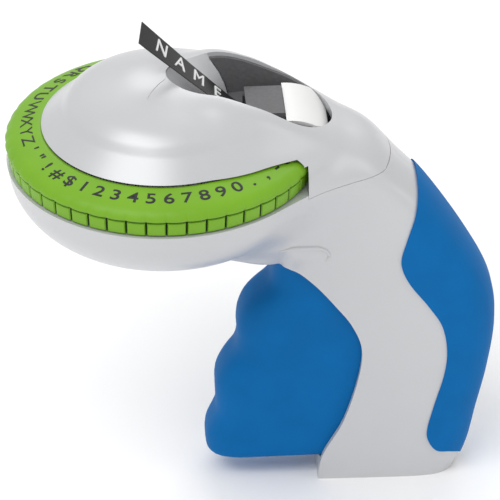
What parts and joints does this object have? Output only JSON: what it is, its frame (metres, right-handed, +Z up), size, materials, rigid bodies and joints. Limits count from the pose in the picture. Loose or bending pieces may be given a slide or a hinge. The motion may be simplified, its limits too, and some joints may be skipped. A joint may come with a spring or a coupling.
{
  "type": "embossing label maker",
  "caption": "Hand-held embossing label maker: a flat character dial on a pistol handle, with a squeeze trigger and a tape exit in the top cover.",
  "frame": {"origin": "middle of the flat bottom face of the handle's foot", "axes": "+Z up, the dial head towards -X, the handle's back towards +X, +Y across; the dial turns about a vertical axis 71 mm forward of the origin"},
  "size_m": [0.1569, 0.1, 0.1672],
  "materials": {
    "housing": "silver-grey moulded plastic, semi-gloss",
    "dial_green": "green moulded plastic, satin",
    "grip_blue": "soft blue rubber, satin",
    "bay_dark": "dark grey, fine texture",
    "cover_white": "white moulded plastic",
    "inner_plastic": "dark engineering plastic",
    "steel": "bright zinc-plated steel",
    "roller_rubber": "matt black rubber",
    "tape_black": "glossy black vinyl tape"
  },
  "bodies": {
    "housing": {"top_cover": "housing", "body_left": "housing", "body_right": "housing", "rear_grip": "grip_blue", "bay_liner": "bay_dark", "anvil_cover": "cover_white", "spindle_bush": "inner_plastic", "reel_holder": "inner_plastic", "tape_guide": "inner_plastic", "roller_bracket": "inner_plastic", "cutter_guide": "inner_plastic", "wheel_spindle": "steel", "spindle_clip": "steel", "detent_spring": "steel", "press_frame": "steel", "pivot_pin": "steel", "return_spring": "steel", "reel_axle": "steel", "housing_screws": "steel", "anvil_block": "steel", "label_tape": "tape_black"},
    "dial": {"dial_ring": "dial_green", "punch_disc": "inner_plastic"},
    "trigger": {"trigger_grip": "grip_blue", "trigger_lever": "inner_plastic"},
    "plunger": {"press_plunger": "inner_plastic"},
    "feed_roller": {"feed_roller": "roller_rubber"},
    "pinch_roller": {"pinch_roller": "roller_rubber"},
    "reel": {"tape_reel": "inner_plastic", "tape_roll": "tape_black"},
    "cutter": {"cutter_blade": "steel"}
  },
  "joints": [
    {"name": "dial_spin", "type": "hinge", "parent": "housing", "child": "dial", "pos_m": [-0.071, 0, 0.127], "axis": [0, 0, 1], "continuous": true},
    {"name": "trigger_squeeze", "type": "hinge", "parent": "housing", "child": "trigger", "pos_m": [-0.053, 0, 0.109], "axis": [0, -1, 0], "range_deg": [0, 10], "stiffness_Nm_per_rad": 2, "springref_deg": -6.88},
    {"name": "plunger_slide", "type": "slide", "parent": "housing", "child": "plunger", "axis": [0, 0, 1], "range_m": [0, 0.0024], "stiffness_N_per_m": 300, "springref_m": -0.001, "deforming": ["return_spring"]},
    {"name": "feed_roller_spin", "type": "hinge", "parent": "housing", "child": "feed_roller", "pos_m": [-0.0424, 0, 0.13145], "axis": [0, 1, 0], "continuous": true},
    {"name": "pinch_roller_spin", "type": "hinge", "parent": "housing", "child": "pinch_roller", "pos_m": [-0.0424, 0, 0.13595], "axis": [0, 1, 0], "continuous": true},
    {"name": "reel_spin", "type": "hinge", "parent": "housing", "child": "reel", "pos_m": [-0.011, 0, 0.106], "axis": [0, 1, 0], "continuous": true},
    {"name": "cutter_slide", "type": "slide", "parent": "housing", "child": "cutter", "axis": [0, 0, 1], "range_m": [0, 0.0011]}
  ],
  "couplings": [
    {"joint": "plunger_slide", "follows": "trigger_squeeze", "m_per_rad": 0.0132},
    {"joint": "cutter_slide", "follows": "trigger_squeeze", "m_per_rad": 0.006},
    {"joint": "pinch_roller_spin", "follows": "feed_roller_spin", "ratio": -1.3529}
  ]
}
